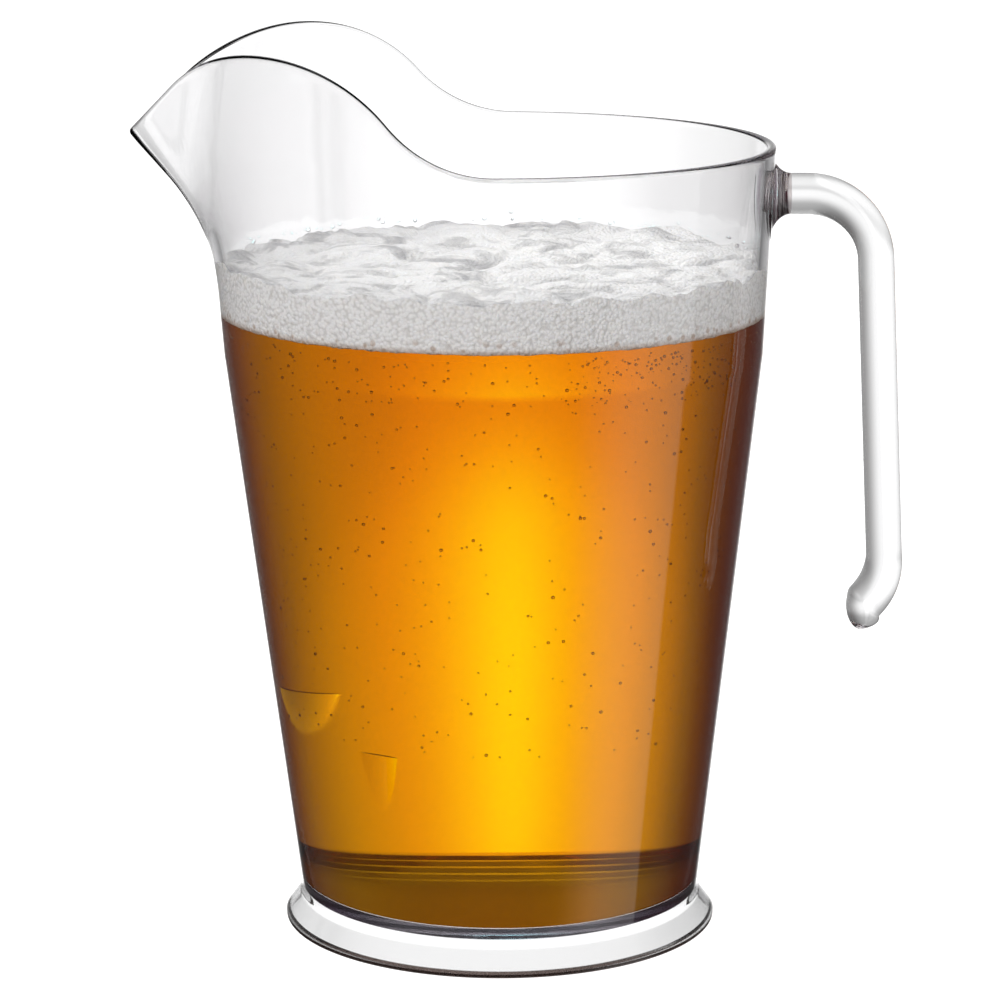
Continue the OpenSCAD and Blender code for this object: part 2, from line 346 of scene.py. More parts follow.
# The foot: a flared skirt with a fillet at the wall
def make_foot():
    seat_top = seat_h - joint_gap
    bend = np.array([seat_r, seat_top - skirt_fillet_h])
    top = np.array([seat_r, seat_top])
    run = mix(np.array([foot_r, land_h]), bend, 1 - skirt_fillet_h / (seat_top - land_h))
    fillet = [mix(mix(run, bend, t), mix(bend, top, t), t) for t in np.linspace(0, 1, 9)]
    corner = lambda r, side, t: np.array(
        [r + side * foot_edge_r * (math.sin(t) - 1), foot_edge_r * (1 - math.cos(t))])
    quarter = np.radians(np.linspace(0, 90, 7))
    outer = [corner(foot_r, 1, t) for t in quarter] + [np.array([foot_r, land_h])] + fillet
    inner = [p - [skirt_t, 0] for p in fillet[::-1]] + [np.array([foot_r - skirt_t, land_h])]
    inner += [corner(foot_r - skirt_t, -1, t) for t in quarter[::-1]]
    profile = np.array(outer + inner)
    turn = -np.radians(np.arange(0, 360, 1.25))
    rings = [np.stack([r * np.cos(turn), r * np.sin(turn), np.full(len(turn), z)], axis=-1)
             for r, z in profile]
    count = len(turn)
    faces = ring_faces(len(rings), count, capped=False)
    last = (len(rings) - 1) * count
    faces += [(last + i, i, (i + 1) % count, last + (i + 1) % count) for i in range(count)]
    return new_object("clear_foot", np.concatenate(rings), faces)


# The handle and the boss that carries it
handle_h = rim_h - root_drop
boss_x = wall_r(handle_h) - lean(handle_h) + boss_l
bend_x = boss_x + root_l
bend_h = handle_h - bend_r


def radial(angle):
    return np.array([math.cos(angle), math.sin(angle)])


grip_top = np.array([bend_x, bend_h]) + bend_r * radial(grip_angle)
grip_end = grip_top + grip_l * radial(grip_angle - math.pi / 2)
hook_c = grip_end - hook_r * radial(grip_angle)
hook_dir = grip_angle - hook_angle
hook_end = hook_c + hook_r * radial(hook_dir)
tip_start = hook_end + hook_l * radial(hook_dir - math.pi / 2)
# The rings of the round tip stop a little short of its pole
tip_last = 87


def rod_ring(c, angle, t, w):
    """An oval ring of the rod, a given thickness in its plane and a width across it."""
    sides = 64
    u = np.arange(sides) * 2 * np.pi / sides
    s = t / 2 * np.cos(u)
    return np.stack([c[0] + s * math.cos(angle), w / 2 * np.sin(u), c[1] + s * math.sin(angle)],
                    axis=-1)


def make_handle():
    start = [boss_x + joint_gap, handle_h]
    rings = [rod_ring(start, math.pi / 2, root_t, root_t)]
    for share in np.linspace(0, 1, 49):
        angle = mix(math.pi / 2, grip_angle, share)
        rings.append(rod_ring(np.array([bend_x, bend_h]) + bend_r * radial(angle), angle,
                              mix(root_t, grip_t, smooth(share)),
                              mix(root_t, grip_w, smooth(share))))
    for share in np.linspace(0, 1, 25)[1:-1]:
        rings.append(rod_ring(mix(grip_top, grip_end, share), grip_angle, grip_t, grip_w))
    for share in np.linspace(0, 1, 41):
        angle = mix(grip_angle, hook_dir, share)
        rings.append(rod_ring(hook_c + hook_r * radial(angle), angle,
                              mix(grip_t, hook_t, math.sin(math.pi / 2 * share)), grip_w))
    tip_dir = hook_dir + tip_turn_angle
    for t in np.radians(np.linspace(0, tip_last, 29)):
        s, d = math.cos(t) ** tip_share, math.sin(t)
        rings.append(rod_ring(tip_start + d * tip_l * radial(tip_dir - math.pi / 2),
                              mix(hook_dir, tip_dir, d), hook_t * s, grip_w * s))
    return ring_stack("clear_handle", rings, 50)


# How much further than the contents the boss's back bites into the wall
boss_bite = 0.02


def make_boss():
    """A flare from the handle's root to the wall, where each line down it runs out."""
    sides = 96
    u = np.arange(sides) * 2 * np.pi / sides
    flare_h = (boss_d - root_t) / 2
    radius_at = lambda t: boss_d / 2 - flare_h * np.sin(t)

    def wall_x(y, z):
        return np.sqrt(wall_r(z) ** 2 - y ** 2) - lean(z) - bite

    # Along each line the flare ends where it meets the wall, found by halving
    low, high = np.zeros(sides), np.full(sides, math.pi / 2)
    for _ in range(30):
        t = (low + high) / 2
        r = radius_at(t)
        inside = boss_x - flare_l * np.cos(t) < wall_x(r * np.sin(u), handle_h + r * np.cos(u))
        low, high = np.where(inside, t, low), np.where(inside, high, t)
    rings = []
    for share in np.linspace(0, 1, 25):
        t = mix(math.pi / 2, high, share)
        r = radius_at(t)
        rings.append(np.stack([boss_x - flare_l * np.cos(t), -r * np.sin(u),
                               handle_h + r * np.cos(u)], axis=-1))
    x, y, z = rings[-1].T
    rings.append(np.stack([np.minimum(x, wall_x(y, z)) - boss_bite, y, z], axis=-1))
    for s in (0.8, 0.6, 0.4, 0.2):
        y_in, z_in = y * s, handle_h + (z - handle_h) * s
        rings.append(np.stack([wall_x(y_in, z_in), y_in, z_in], axis=-1))
    return ring_stack("handle_boss_flare", rings, 40)


# The contents
def make_beer():
    az = columns(360)
    rings = inner_rings(az, beer_h, wall_t - bite, -bite)
    return ring_stack("beer_fill", rings)


# Relief of the foam's top: big billows, small creases and froth, and a climb at the wall, which
# begins at a share of the way out
billow_rise = 3.3
crease_rise = 1.3
froth_rise = 0.14
climb_share = 0.86


def foam_top(x, y, share):
    """Height of the foam's top over its mean level: rounded billows with creases and froth."""
    warped_x = x + 8 * value_noise(x, y, 28, 5) + 2.5 * value_noise(x, y, 9, 6)
    warped_y = y + 8 * value_noise(x, y, 26, 7) + 2.5 * value_noise(x, y, 8, 8)
    billows = np.sqrt(np.abs(value_noise(warped_x, warped_y * 1.4, 21, 11)) + 0.02) - 0.55
    creases = np.abs(value_noise(warped_x, warped_y * 1.2, 7.5, 12)) - 0.35
    froth = value_noise(x, y, 2.2, 13) + 0.6 * value_noise(x, y, 1.1, 14)
    edge = np.clip((share - climb_share) / (1 - climb_share), 0, 1)
    rough = 0.4 + 0.9 * value_noise(x, y, 7, 15) + 0.5 * value_noise(x, y, 2.5, 16)
    return (billow_rise * billows + crease_rise * creases + froth_rise * froth
            + edge ** 2 * rough)


# The foam's lower edge hangs unevenly into the beer, with fine and broad dips, and its underside
# is tucked in twice. Its side ends a little under the top's edge
fine_dip = 0.35
broad_dip = 0.2
side_dip_share = 0.6
tuck_h, tuck_in = 0.05, 0.25
under_h, under_in = 0.4, 2.5
edge_drop = 0.25


def make_foam():
    az = columns(420)
    side = wall_t - bite
    low = beer_h - bite
    dip = (fine_dip * np.abs(value_noise(az * 1.1, 0 * az, 1.6, 21))
           + broad_dip * np.abs(value_noise(az * 1.1, 0 * az + 9, 5.0, 22)))
    rings = [skin(az, low - under_h, side + under_in)]
    rings.append(skin(az, low - dip - tuck_h, side + tuck_in))
    rings.append(skin(az, low - dip * side_dip_share, side))
    centre = np.array([-lean(foam_h), 0, foam_h])
    edge = skin(az, foam_h, side)
    top_edge = foam_h + foam_top(edge[:, 0], edge[:, 1], 1.0)
    for share in np.linspace(0, 1, 14)[1:]:
        level = mix(low - dip * side_dip_share, top_edge - edge_drop, share)
        rings.append(skin(az, level, side))
    for share in 0.995 - np.linspace(0, 0.985, 150):
        p = mix(centre, edge, share)
        p[:, 2] = foam_h + foam_top(p[:, 0], p[:, 1], share)
        rings.append(p)
    return ring_stack("foam_head_folds", rings, 60)


# Small bubbles: rising ones in the beer, and clear ones along the foam's edge
def ball(steps, rows):
    """Points and faces of a small round bubble of radius 1."""
    points = [(0, 0, -1)]
    for k in range(1, rows):
        t = math.pi * (k / rows - 0.5)
        points += [(math.cos(t) * math.cos(2 * math.pi * i / steps),
                    math.cos(t) * math.sin(2 * math.pi * i / steps), math.sin(t))
                   for i in range(steps)]
    points.append((0, 0, 1))
    top = len(points) - 1
    faces = [(0, 1 + (i + 1) % steps, 1 + i) for i in range(steps)]
    for k in range(rows - 2):
        low = 1 + k * steps
        faces += [(low + i, low + (i + 1) % steps, low + steps + (i + 1) % steps, low + steps + i)
                  for i in range(steps)]
    low = top - steps
    faces += [(low + i, low + (i + 1) % steps, top) for i in range(steps)]
    return np.array(points, float), faces


def bubble_cloud(name, centres, radii, hollow):
    """Many bubbles in one piece. A hollow one is air in a liquid: its faces point inwards."""
    points, faces = ball(steps=8, rows=6)
    squash = np.array([1.0, 1.0, 0.92])
    all_points, all_faces = [], []
    for k, (c, r) in enumerate(zip(centres, radii)):
        all_points.append(points * r * squash + c)
        low = k * len(points)
        for face in faces:
            ids = [low + i for i in face]
            all_faces.append(tuple(ids[::-1] if hollow else ids))
    return new_object(name, np.concatenate(all_points), all_faces, 180)


def make_rising_bubbles():
    """Bubbles behind the front wall, more of them near the foam, and a swarm at the right."""
    rng = np.random.default_rng(41)
    count, swarm = 560, 150
    z = beer_h - 3 - 105 * rng.random(count) ** 1.7
    az = rng.uniform(-172, -8, count)
    depth = 0.5 + 7 * rng.random(count) ** 2
    radii = 0.24 + 0.24 * rng.random(count) ** 3
    near = rng.uniform(-1, 1, (swarm, 2))
    z = np.concatenate([z, 156 + 6.5 * near[:, 0]])
    az = np.concatenate([az, -132 + 26 * near[:, 1]])
    depth = np.concatenate([depth, 0.4 + 3 * rng.random(swarm)])
    radii = np.concatenate([radii, 0.16 + 0.3 * rng.random(swarm) ** 2])
    centres = skin(az, z, wall_t + depth + radii)
    return bubble_cloud("rising_bubbles", centres, radii, hollow=True)


def make_froth_bubbles():
    """Loose bubbles on the wall just over the foam: many at the back, some at its left."""
    rng = np.random.default_rng(43)
    back, left = 115, 35
    count = back + left
    az = np.concatenate([rng.uniform(60, 176, back), rng.uniform(10, 60, left)])
    radii = 0.18 + 0.5 * rng.random(count) ** 3
    z = foam_h + 0.9 + 2.2 * rng.random(count) ** 2 + radii
    centres = skin(az, z, wall_t + radii * 0.8 + 0.1 + 1.4 * rng.random(count) ** 2)
    return bubble_cloud("froth_bubbles", centres, radii, hollow=False)


# Nodes for the materials and the world. An input is a socket or a number
def add(tree, kind, **settings):
    node = tree.nodes.new(kind)
    for name, value in settings.items():
        setattr(node, name, value)
    return node


def join(tree, start, end):
    tree.links.new(start, end)


def give(tree, item, slot):
    if isinstance(item, (int, float)):
        slot.default_value = item
    else:
        join(tree, item, slot)


def value_of(tree, operation, first, second=None, clamp=False):
    node = add(tree, "ShaderNodeMath", operation=operation, use_clamp=clamp)
    give(tree, first, node.inputs[0])
    if second is not None:
        give(tree, second, node.inputs[1])
    return node.outputs[0]


def times(tree, first, second):
    return value_of(tree, "MULTIPLY", first, second)


def plus(tree, first, second):
    return value_of(tree, "ADD", first, second)


def span(tree, value, low, high, to_low=0.0, to_high=1.0, kind="SMOOTHSTEP"):
    """A value that goes from one level to another while the given one crosses a range."""
    node = add(tree, "ShaderNodeMapRange", interpolation_type=kind)
    join(tree, value, node.inputs["Value"])
    for name, number in zip(("From Min", "From Max", "To Min", "To Max"),
                            (low, high, to_low, to_high)):
        node.inputs[name].default_value = number
    return node.outputs["Result"]


def choose(tree, share, first, second):
    node = add(tree, "ShaderNodeMix", data_type="FLOAT")
    join(tree, share, node.inputs["Factor"])
    give(tree, first, node.inputs["A"])
    give(tree, second, node.inputs["B"])
    return node.outputs["Result"]


def blend(tree, share, first, second):
    """A mix of two colours, each a socket or three numbers."""
    node = add(tree, "ShaderNodeMix", data_type="RGBA")
    join(tree, share, node.inputs["Factor"])
    for item, slot in ((first, node.inputs["A"]), (second, node.inputs["B"])):
        if isinstance(item, tuple):
            slot.default_value = (*item, 1)
        else:
            join(tree, item, slot)
    return node.outputs["Result"]


def ramp(tree, value, stops):
    """A smooth ramp through places from 0 to 1, each with a grey level or a colour."""
    node = add(tree, "ShaderNodeValToRGB")
    join(tree, value, node.inputs["Fac"])
    line = node.color_ramp
    line.interpolation = "B_SPLINE"
    while len(line.elements) < len(stops):
        line.elements.new(0.5)
    for element, (place, shade) in zip(line.elements, stops):
        element.position = place
        element.color = (shade, shade, shade, 1) if isinstance(shade, float) else (*shade, 1)
    return node.outputs["Color"]


def curve(tree, value, low, high, top, stops):
    """A smooth curve from one value to another through levels of which none is over the top."""
    share = span(tree, value, low, high, kind="LINEAR")
    places = [((at - low) / (high - low), level / top) for at, level in stops]
    return times(tree, ramp(tree, share, places), top)


def mix_shaders(tree, share, first, second):
    node = add(tree, "ShaderNodeMixShader")
    join(tree, share, node.inputs["Fac"])
    join(tree, first.outputs[0], node.inputs[1])
    join(tree, second.outputs[0], node.inputs[2])
    return node


def texture(tree, kind, vector, feature=None, **inputs):
    """A texture node at a place, with its inputs by name."""
    node = add(tree, kind)
    if feature:
        node.feature = feature
    join(tree, vector, node.inputs["Vector"])
    for name, value in inputs.items():
        node.inputs[name].default_value = value
    return node


def object_place(tree):
    return add(tree, "ShaderNodeTexCoord").outputs["Object"]


def parts_of(tree, vector):
    node = add(tree, "ShaderNodeSeparateXYZ")
    join(tree, vector, node.inputs["Vector"])
    return node.outputs


def moulding_group():
    """Slight waves and fine scratches that clear moulded plastic has: a normal and a mask."""
    tree = bpy.data.node_groups.new("moulded_plastic_surface", "ShaderNodeTree")
    for label, value in (("Wave Size", 60.0), ("Wave Height", 0.00002), ("Scratch Amount", 0.05)):
        socket = tree.interface.new_socket(label, in_out="INPUT", socket_type="NodeSocketFloat")
        socket.default_value = value
    for label, kind in (("Normal", "NodeSocketVector"), ("Scratches", "NodeSocketFloat")):
        tree.interface.new_socket(label, in_out="OUTPUT", socket_type=kind)
    given, out = add(tree, "NodeGroupInput"), add(tree, "NodeGroupOutput")
    place = object_place(tree)

    def drawn_out(upright_share):
        """The place, drawn out upright, as the plastic flowed."""
        node = add(tree, "ShaderNodeMapping")
        node.inputs["Scale"].default_value = (1, 1, upright_share)
        join(tree, place, node.inputs["Vector"])
        return node.outputs["Vector"]

    waves = texture(tree, "ShaderNodeTexNoise", drawn_out(0.18), Detail=1.5)
    join(tree, given.outputs["Wave Size"], waves.inputs["Scale"])
    bump = add(tree, "ShaderNodeBump")
    bump.inputs["Strength"].default_value = 1.0
    join(tree, given.outputs["Wave Height"], bump.inputs["Distance"])
    join(tree, waves.outputs["Fac"], bump.inputs["Height"])
    join(tree, bump.outputs["Normal"], out.inputs["Normal"])
    lines = texture(tree, "ShaderNodeTexVoronoi", drawn_out(0.06),
                    "DISTANCE_TO_EDGE", Scale=420)
    thin = span(tree, lines.outputs["Distance"], 0.0, 0.02, 1.0, 0.0)
    join(tree, times(tree, thin, given.outputs["Scratch Amount"]), out.inputs["Scratches"])
    return tree


def new_material(name):
    material = bpy.data.materials.new(name)
    material.use_nodes = True
    tree = material.node_tree
    tree.nodes.clear()
    return material, tree, add(tree, "ShaderNodeOutputMaterial")


def clear_shader(tree, ior):
    body = add(tree, "ShaderNodeBsdfPrincipled")
    body.inputs["Base Color"].default_value = (1, 1, 1, 1)
    body.inputs["Metallic"].default_value = 0
    body.inputs["IOR"].default_value = ior
    body.inputs["Transmission Weight"].default_value = 1
    return body


def finish_clear(tree, out, body, shadow_tint):
    """Shadow rays pass a clear piece straight, with a light tint."""
    light_path = add(tree, "ShaderNodeLightPath")
    passing = add(tree, "ShaderNodeBsdfTransparent")
    passing.inputs["Color"].default_value = (*shadow_tint, 1)
    choice = mix_shaders(tree, light_path.outputs["Is Shadow Ray"], body, passing)
    join(tree, choice.outputs["Shader"], out.inputs["Surface"])


def fill_clear(tree, out, tint, density):
    inside = add(tree, "ShaderNodeVolumeAbsorption")
    inside.inputs["Color"].default_value = (*tint, 1)
    inside.inputs["Density"].default_value = density
    join(tree, inside.outputs["Volume"], out.inputs["Volume"])


moulding = moulding_group()
plastic_ior = 1.58
beer_ior = 1.34
# A froth bubble is a thin film round air, so as a solid ball it bends light only a little
film_ior = 1.14
# Near-black painted contact shade for the lowest edge of the foot, where it stands on the floor
painted_contact_shade = (0.02, 0.012, 0.01)


def clear_plastic(name, roughness, wave, scratches, grey, density, contact_shade_below=None):
    """Clear moulded plastic with slight waves, which greys what is seen through it. Below a given
    height a standing edge is darkened near-black with painted contact shade and made a little
    rougher."""
    material, tree, out = new_material(name)
    surface = add(tree, "ShaderNodeGroup", node_tree=moulding)
    surface.inputs["Wave Size"].default_value = 70.0
    surface.inputs["Wave Height"].default_value = wave
    surface.inputs["Scratch Amount"].default_value = scratches
    body = clear_shader(tree, plastic_ior)
    rough = plus(tree, surface.outputs["Scratches"], roughness) if scratches else roughness
    if contact_shade_below:
        # Painted contact shade: below the given height the standing edge turns near-black and a
        # little rougher
        height = parts_of(tree, object_place(tree))["Z"]
        shade_and_dulling = span(tree, height, contact_shade_below * 0.75, contact_shade_below, 1.0, 0.0)
        shade = blend(tree, shade_and_dulling, (1, 1, 1), painted_contact_shade)
        join(tree, shade, body.inputs["Base Color"])
        rough = plus(tree, rough, times(tree, shade_and_dulling, 0.2))
    give(tree, rough, body.inputs["Roughness"])
    join(tree, surface.outputs["Normal"], body.inputs["Normal"])
    finish_clear(tree, out, body, (0.93, 0.93, 0.94))
    fill_clear(tree, out, grey, density)
    return material


def beer_liquid():
    """Golden beer: deep amber by its depth."""
    material, tree, out = new_material("golden_beer")
    body = clear_shader(tree, beer_ior)
    body.inputs["Roughness"].default_value = 0.0
    finish_clear(tree, out, body, (0.95, 0.72, 0.3))
    fill_clear(tree, out, (0.975, 0.87, 0.1), 100)
    return material


def foam_froth():
    """Beer foam: white on top, with grey patches of painted shade standing for the shade in its
    creases; fine bubbles down the side, with painted shade in the hollows between them.
    """
    material, tree, out = new_material("beer_foam")
    place = object_place(tree)
    height = parts_of(tree, place)["Z"]
    bubbles = texture(tree, "ShaderNodeTexVoronoi", place, "SMOOTH_F1",
                      Scale=1050, Smoothness=0.25)
    coarse = texture(tree, "ShaderNodeTexVoronoi", place, "F1", Scale=330)
    grain = texture(tree, "ShaderNodeTexNoise", place, Scale=900, Detail=4)
    painted_shade_noise = texture(tree, "ShaderNodeTexNoise", place,
                     Scale=48, Detail=6, Roughness=0.62, Distortion=1.6)
    bump = add(tree, "ShaderNodeBump")
    bump.inputs["Strength"].default_value = 0.9
    bump.inputs["Distance"].default_value = 0.0007
    join(tree, plus(tree, times(tree, bubbles.outputs["Distance"], -0.9),
                    times(tree, grain.outputs["Fac"], 0.5)), bump.inputs["Height"])
    # The top: white, with painted shade as grey patches of noise that stand for the shade in its
    # creases
    top = ramp(tree, painted_shade_noise.outputs["Fac"], [
        (0.0, (0.46, 0.46, 0.48)), (0.37, (0.55, 0.545, 0.55)), (0.46, (0.8, 0.795, 0.785)),
        (0.52, (0.99, 0.985, 0.975)), (1.0, (1.0, 1.0, 0.99))])
    # The side is one soft grey, with painted shade darkening the hollows between its bubbles
    painted_pit_shade = span(tree, bubbles.outputs["Distance"], 0.4, 0.8)
    grey = blend(tree, painted_pit_shade, (0.97, 0.96, 0.94), (0.78, 0.765, 0.74))
    facing = add(tree, "ShaderNodeNewGeometry").outputs["Normal"]
    side = span(tree, parts_of(tree, facing)["Z"], 0.15, 0.6, 1.0, 0.0)
    # Brown spots where big wet bubbles let the beer through, near the beer's line
    wet = span(tree, height, (beer_h - 0.5) / 1000, (beer_h + 5) / 1000, 1.0, 0.0)
    spots = span(tree, coarse.outputs["Distance"], 0.16, 0.34, 1.0, 0.0)
    line = span(tree, height, (beer_h - 0.2) / 1000, (beer_h + 1.6) / 1000, 0.75, 0.0)
    stain = value_of(tree, "MAXIMUM", times(tree, wet, spots), line)
    colour = blend(tree, stain, blend(tree, side, top, grey), (0.5, 0.38, 0.3))
    body = add(tree, "ShaderNodeBsdfPrincipled")
    join(tree, colour, body.inputs["Base Color"])
    body.inputs["Roughness"].default_value = 0.5
    body.inputs["IOR"].default_value = beer_ior
    body.inputs["Subsurface Weight"].default_value = 0.2
    body.inputs["Subsurface Radius"].default_value = (0.004, 0.0036, 0.003)
    body.inputs["Subsurface Scale"].default_value = 0.4
    join(tree, bump.outputs["Normal"], body.inputs["Normal"])
    join(tree, body.outputs["BSDF"], out.inputs["Surface"])
    return material


def bubble_skin(name, ior):
    """A clear bubble, with a slightly uneven skin."""
    material, tree, out = new_material(name)
    uneven = texture(tree, "ShaderNodeTexNoise", object_place(tree), Scale=2500)
    body = clear_shader(tree, ior)
    join(tree, span(tree, uneven.outputs["Fac"], 0.3, 0.7, 0.0, 0.1), body.inputs["Roughness"])
    finish_clear(tree, out, body, (1, 1, 1))
    return material


# The pieces, and what they stand for
def dress(piece, material, node):
    piece.data.materials.append(material)
    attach(piece, "root")
    if node:
        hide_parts(node)


dress(make_body(), clear_plastic("clear_wall", 0.0, 0.000012, 0.0, (0.8, 0.79, 0.81), 80),
      "jug_body")
# The skirt's lowest 1.1 mm carries painted contact shade
dress(make_foot(), clear_plastic("clear_skirt", 0.01, 0.00002, 0.1, (0.8, 0.8, 0.81), 110, 0.0011),
      "foot_ring")
dress(make_boss(), clear_plastic("clear_flare", 0.0, 0.00002, 0.02, (0.5, 0.44, 0.44), 120),
      "handle_boss")
dress(make_handle(), clear_plastic("clear_grip", 0.01, 0.00002, 0.03, (0.93, 0.93, 0.97), 6.0),
      "handle")
dress(make_beer(), beer_liquid(), "beer")
dress(make_foam(), foam_froth(), "foam_head")
dress(make_rising_bubbles(), bubble_skin("air_bubble", beer_ior), None)
dress(make_froth_bubbles(), bubble_skin("froth_bubble", film_ior), None)


# The floor: plain and pale. It keeps the jug's shadow, and clear pieces don't show it
def make_floor():
    size = 6.0
    mesh = bpy.data.meshes.new("pale_floor")
    mesh.from_pydata([(-size, -size, 0), (size, -size, 0), (size, size, 0), (-size, size, 0)],
                     [], [(0, 1, 2, 3)])
    floor = bpy.data.objects.new("pale_floor", mesh)
    bpy.context.scene.collection.objects.link(floor)
    material, tree, out = new_material("pale_floor")
    matt = add(tree, "ShaderNodeBsdfDiffuse")
    matt.inputs["Color"].default_value = (0.45, 0.45, 0.45, 1)
    glow = add(tree, "ShaderNodeEmission")
    glow.inputs["Strength"].default_value = 0.8
    seen = add(tree, "ShaderNodeAddShader")
    join(tree, matt.outputs["BSDF"], seen.inputs[0])
    join(tree, glow.outputs["Emission"], seen.inputs[1])
    plain = add(tree, "ShaderNodeBsdfDiffuse")
    plain.inputs["Color"].default_value = (0.8, 0.8, 0.8, 1)
    passing = add(tree, "ShaderNodeBsdfTransparent")
    path = add(tree, "ShaderNodeLightPath").outputs
    through = value_of(tree, "MAXIMUM", path["Is Transmission Ray"], path["Is Glossy Ray"])
    unseen = mix_shaders(tree, through, plain, passing)
    whole = mix_shaders(tree, path["Is Camera Ray"], unseen, seen)
    join(tree, whole.outputs["Shader"], out.inputs["Surface"])
    mesh.materials.append(material)


make_floor()


# The studio: a white surround, brightest low behind the jug, as the clear pieces see it. Its
# azimuth is taken from behind the jug towards the handle, its height from the horizon, in degrees
def light_through_beer(tree, azimuth, height, behind, far):
    """A sheet with dark sides, a band that the jug's floor shows, and a bright spot low behind."""
    sheet = curve(tree, azimuth, -90, 90, 1.6, (
        (-90, 0.01), (-66, 0.01), (-57, 0.02), (-48, 0.08), (-42, 0.15), (-38, 0.23),
        (-32.5, 0.37), (-27, 0.64), (-23, 0.86), (-19, 1.08), (-15, 1.2), (-10, 1.36), (-3, 1.5),
        (3, 1.38), (7, 1.15), (11, 1.0), (15, 0.91), (19, 0.82), (24, 0.67), (30, 0.54),
        (39, 0.38), (48, 0.2), (58, 0.08), (90, 0.03)))
    sheet = choose(tree, far, times(tree, sheet, behind), 1.8)
    sheet = times(tree, sheet, span(tree, height, -4.0, 12.0, 1.0, 0.25))
    # The band is higher up, and brighter to both sides
    band = curve(tree, azimuth, -40, 40, 2.3, (
        (-40, 1.9), (-15, 1.9), (-9, 1.05), (0, 1.0), (8, 1.15), (18, 1.6), (24, 2.0), (40, 2.2)))
    sheet = times(tree, sheet, choose(tree, span(tree, height, 0.0, 8.0), 1.0, band))
    # The spot falls off slowly sideways
    across = value_of(tree, "DIVIDE", plus(tree, azimuth, 3.6), 6.5)
    across = plus(tree, value_of(tree, "POWER", across, 2.0), 1.0)
    upright = curve(tree, height, -40, 0, 1.0, (
        (-40, 0.0), (-18.5, 0.0), (-16, 0.25), (-13.5, 0.6), (-11, 0.84), (-9.6, 1.0),
        (-8.6, 1.0), (-7.7, 0.92), (-7.1, 0.62), (-6.6, 0.36), (-6.0, 0.12), (-5, 0.0), (0, 0.0)))
    spot = times(tree, value_of(tree, "DIVIDE", upright, across), 2.45)
    return plus(tree, plus(tree, sheet, times(tree, spot, behind)), 0.02)


def light_through_plastic(tree, azimuth, sideways, height, behind, straight):
    """A plainer sheet, with a few faint streaks and a grey handle side."""
    wide = curve(tree, azimuth, -90, 90, 1.4, (
        (-90, 0.05), (-75, 0.1), (-62, 0.3), (-50, 0.75), (-38, 1.0), (-25, 1.15), (-15, 1.2),
        (-3, 1.2), (3, 1.2), (7, 1.15), (10, 1.05), (15, 0.84), (21, 0.6), (28, 0.4), (36, 0.33),
        (46, 0.36), (58, 0.7), (75, 0.6), (90, 0.2)))
    streaks = curve(tree, azimuth, -9, 3, 1.1, (
        (-9, 1.0), (-7.4, 0.99), (-6.6, 1.0), (-6.35, 1.02), (-6.2, 0.92), (-6.05, 0.92),
        (-5.9, 1.0), (-5.7, 0.91), (-5.5, 0.94), (-5.2, 1.0), (-4.6, 1.06), (-3.8, 1.1),
        (-1.0, 1.1), (0.6, 1.05), (1.2, 0.94), (1.9, 0.86), (3, 0.86)))
    # Light that has turned inside a piece finds darker sides
    turned_in = choose(tree, straight, span(tree, sideways, 20.0, 32.0, 1.0, 0.3), 1.0)
    sheet = times(tree, times(tree, times(tree, wide, streaks), behind), turned_in)
    # Far to the sides and in front of the jug it is pale again
    rear = curve(tree, sideways, 80, 180, 1.1, (
        (80, 0.95), (96, 0.95), (106, 0.75), (116, 0.5), (126, 0.65), (138, 0.92), (160, 1.0),
        (180, 1.0)))
    far = times(tree, span(tree, sideways, 79.0, 88.0), straight)
    upward = curve(tree, height, -60, 30, 1.1, (
        (-60, 0.5), (-45, 0.9), (-28, 0.93), (-22, 0.73), (-17.5, 0.73), (-14, 1.0), (-8, 1.02),
        (-4, 1.02), (2, 0.85), (8, 0.58), (14, 0.42), (30, 0.34)))
    return plus(tree, times(tree, choose(tree, far, sheet, rear), upward), 0.06)


def mirrored_light(tree, azimuth, sideways, height, sheet):
    """The sheet at a grazing look, and a tall softbox at the handle's side with a sharp edge."""
    grazing = span(tree, sideways, 7.0, 20.0, 1.0, 0.1)
    edge = plus(tree, times(tree, height, -0.3), 80.7)
    past_edge = value_of(tree, "SUBTRACT", azimuth, edge)
    panel = times(tree, span(tree, past_edge, 0.0, 2.5),
                  span(tree, azimuth, 110.0, 146.0, 0.65, 0.0))
    panel = times(tree, panel, span(tree, height, 5.0, 25.0, 1.0, 0.0))
    return plus(tree, times(tree, sheet, grazing), panel)


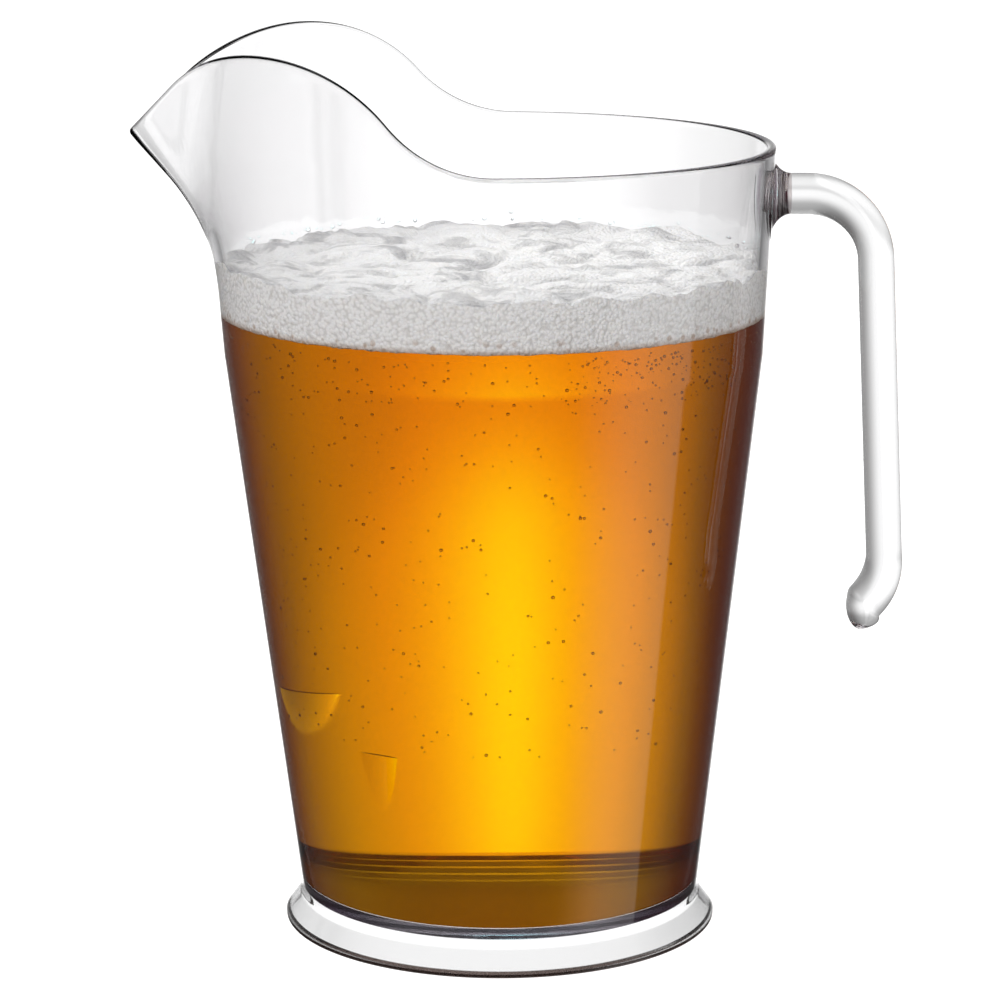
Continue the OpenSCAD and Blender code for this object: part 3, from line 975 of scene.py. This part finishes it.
def make_world():
    world = bpy.data.worlds.new("studio")
    world.use_nodes = True
    bpy.context.scene.world = world
    tree = world.node_tree
    tree.nodes.clear()
    place = add(tree, "ShaderNodeTexCoord").outputs["Generated"]
    x, y, z = parts_of(tree, place)
    azimuth = times(tree, value_of(tree, "ARCTAN2", x, y), 180 / math.pi)
    sideways = value_of(tree, "ABSOLUTE", azimuth)
    height = times(tree, value_of(tree, "ARCSINE", z), 180 / math.pi)
    behind = span(tree, y, -0.2, 0.1)
    # Rays that pass straight through the jug, and not by a reflection inside it, find an even
    # white far to the sides and in front
    path = add(tree, "ShaderNodeLightPath").outputs
    straight = value_of(tree, "LESS_THAN", path["Glossy Depth"], 0.5)
    far = times(tree, span(tree, sideways, 66.0, 76.0), straight)
    beer_light = light_through_beer(tree, azimuth, height, behind, far)
    clear_light = light_through_plastic(tree, azimuth, sideways, height, behind, straight)
    mirror_light = mirrored_light(tree, azimuth, sideways, height, beer_light)
    # A ray through the filled jug crosses more faces than one through the empty clear pieces.
    # Light that reaches the foam is plain, past the clear wall too
    unlit = value_of(tree, "LESS_THAN", path["Diffuse Depth"], 0.5)
    passed = times(tree, path["Is Transmission Ray"], unlit)
    filled = value_of(tree, "GREATER_THAN", path["Transmission Depth"], 4.5)
    bounced = value_of(tree, "SUBTRACT", path["Is Glossy Ray"], path["Is Transmission Ray"],
                       clamp=True)
    bounced = times(tree, bounced, unlit)
    strength = choose(tree, passed, 0.85, choose(tree, filled, clear_light, beer_light))
    strength = choose(tree, bounced, strength, mirror_light)
    strength = choose(tree, path["Is Camera Ray"], strength, 1.0)
    # The brightest light through the beer is a little short of red, so that the beer turns from
    # amber to gold there, and the sides are short of green, so that it stays brown at its edges
    red = curve(tree, strength, 0, 5, 2.2, (
        (0, 0.0), (0.5, 0.5), (0.8, 0.8), (1.1, 1.1), (1.4, 1.38), (1.9, 1.62),
        (2.4, 1.78), (3.7, 1.98), (5, 2.1)))
    greener = choose(tree, far, span(tree, sideways, 20.0, 56.0, 1.0, 0.6), 1.0)
    green = times(tree, strength, greener)
    beyond = times(tree, passed, filled)
    colour = add(tree, "ShaderNodeCombineXYZ")
    join(tree, choose(tree, beyond, strength, red), colour.inputs["X"])
    join(tree, choose(tree, beyond, strength, green), colour.inputs["Y"])
    join(tree, strength, colour.inputs["Z"])
    back = add(tree, "ShaderNodeBackground")
    join(tree, colour.outputs["Vector"], back.inputs["Color"])
    back.inputs["Strength"].default_value = 1.0
    out = add(tree, "ShaderNodeOutputWorld")
    join(tree, back.outputs["Background"], out.inputs["Surface"])


make_world()


# Three plain white lamps light the foam and the floor. The clear pieces show only the surround
def softbox(name, place, target, width, height, radiance):
    lamp = bpy.data.lights.new(name, "AREA")
    lamp.shape = "RECTANGLE"
    lamp.size, lamp.size_y = width, height
    lamp.energy = radiance * math.pi * width * height
    thing = bpy.data.objects.new(name, lamp)
    place = np.array(place, float)
    look = np.array(target, float) - place
    flat = math.hypot(look[0], look[1])
    thing.location = place
    thing.rotation_euler = (math.atan2(flat, -look[2]), 0, math.atan2(-look[0], look[1]))
    thing.visible_glossy = False
    thing.visible_transmission = False
    bpy.context.scene.collection.objects.link(thing)


softbox("softbox_right", (0.65, -0.25, 0.18), (0, 0, 0.12), 0.78, 0.75, 1.3)
softbox("softbox_front", (-0.5, -1.1, 0.4), (0, 0, 0.15), 1.0, 0.9, 2.9)
softbox("soft_top", (-0.45, 0.5, 0.85), (0, 0, 0.15), 0.9, 0.7, 3.3)


# The camera, at the photograph's angle
def make_camera():
    look_down, turn = 12.23, 2.0
    lens = bpy.data.cameras.new("camera")
    lens.sensor_width = 36
    lens.lens = 135.95
    lens.clip_end = 20
    camera = bpy.data.objects.new("camera", lens)
    camera.location = (0.03416 + jug_x / 1000, -0.9769, 0.3249)
    camera.rotation_euler = (math.radians(90 - look_down), 0, math.radians(turn))
    bpy.context.scene.collection.objects.link(camera)
    bpy.context.scene.camera = camera


make_camera()
scene = bpy.context.scene
scene.view_settings.view_transform = "Standard"
# Light turns many times inside the clear foot and handle
scene.cycles.max_bounces = 24
scene.cycles.glossy_bounces = 16
scene.cycles.transmission_bounces = 24
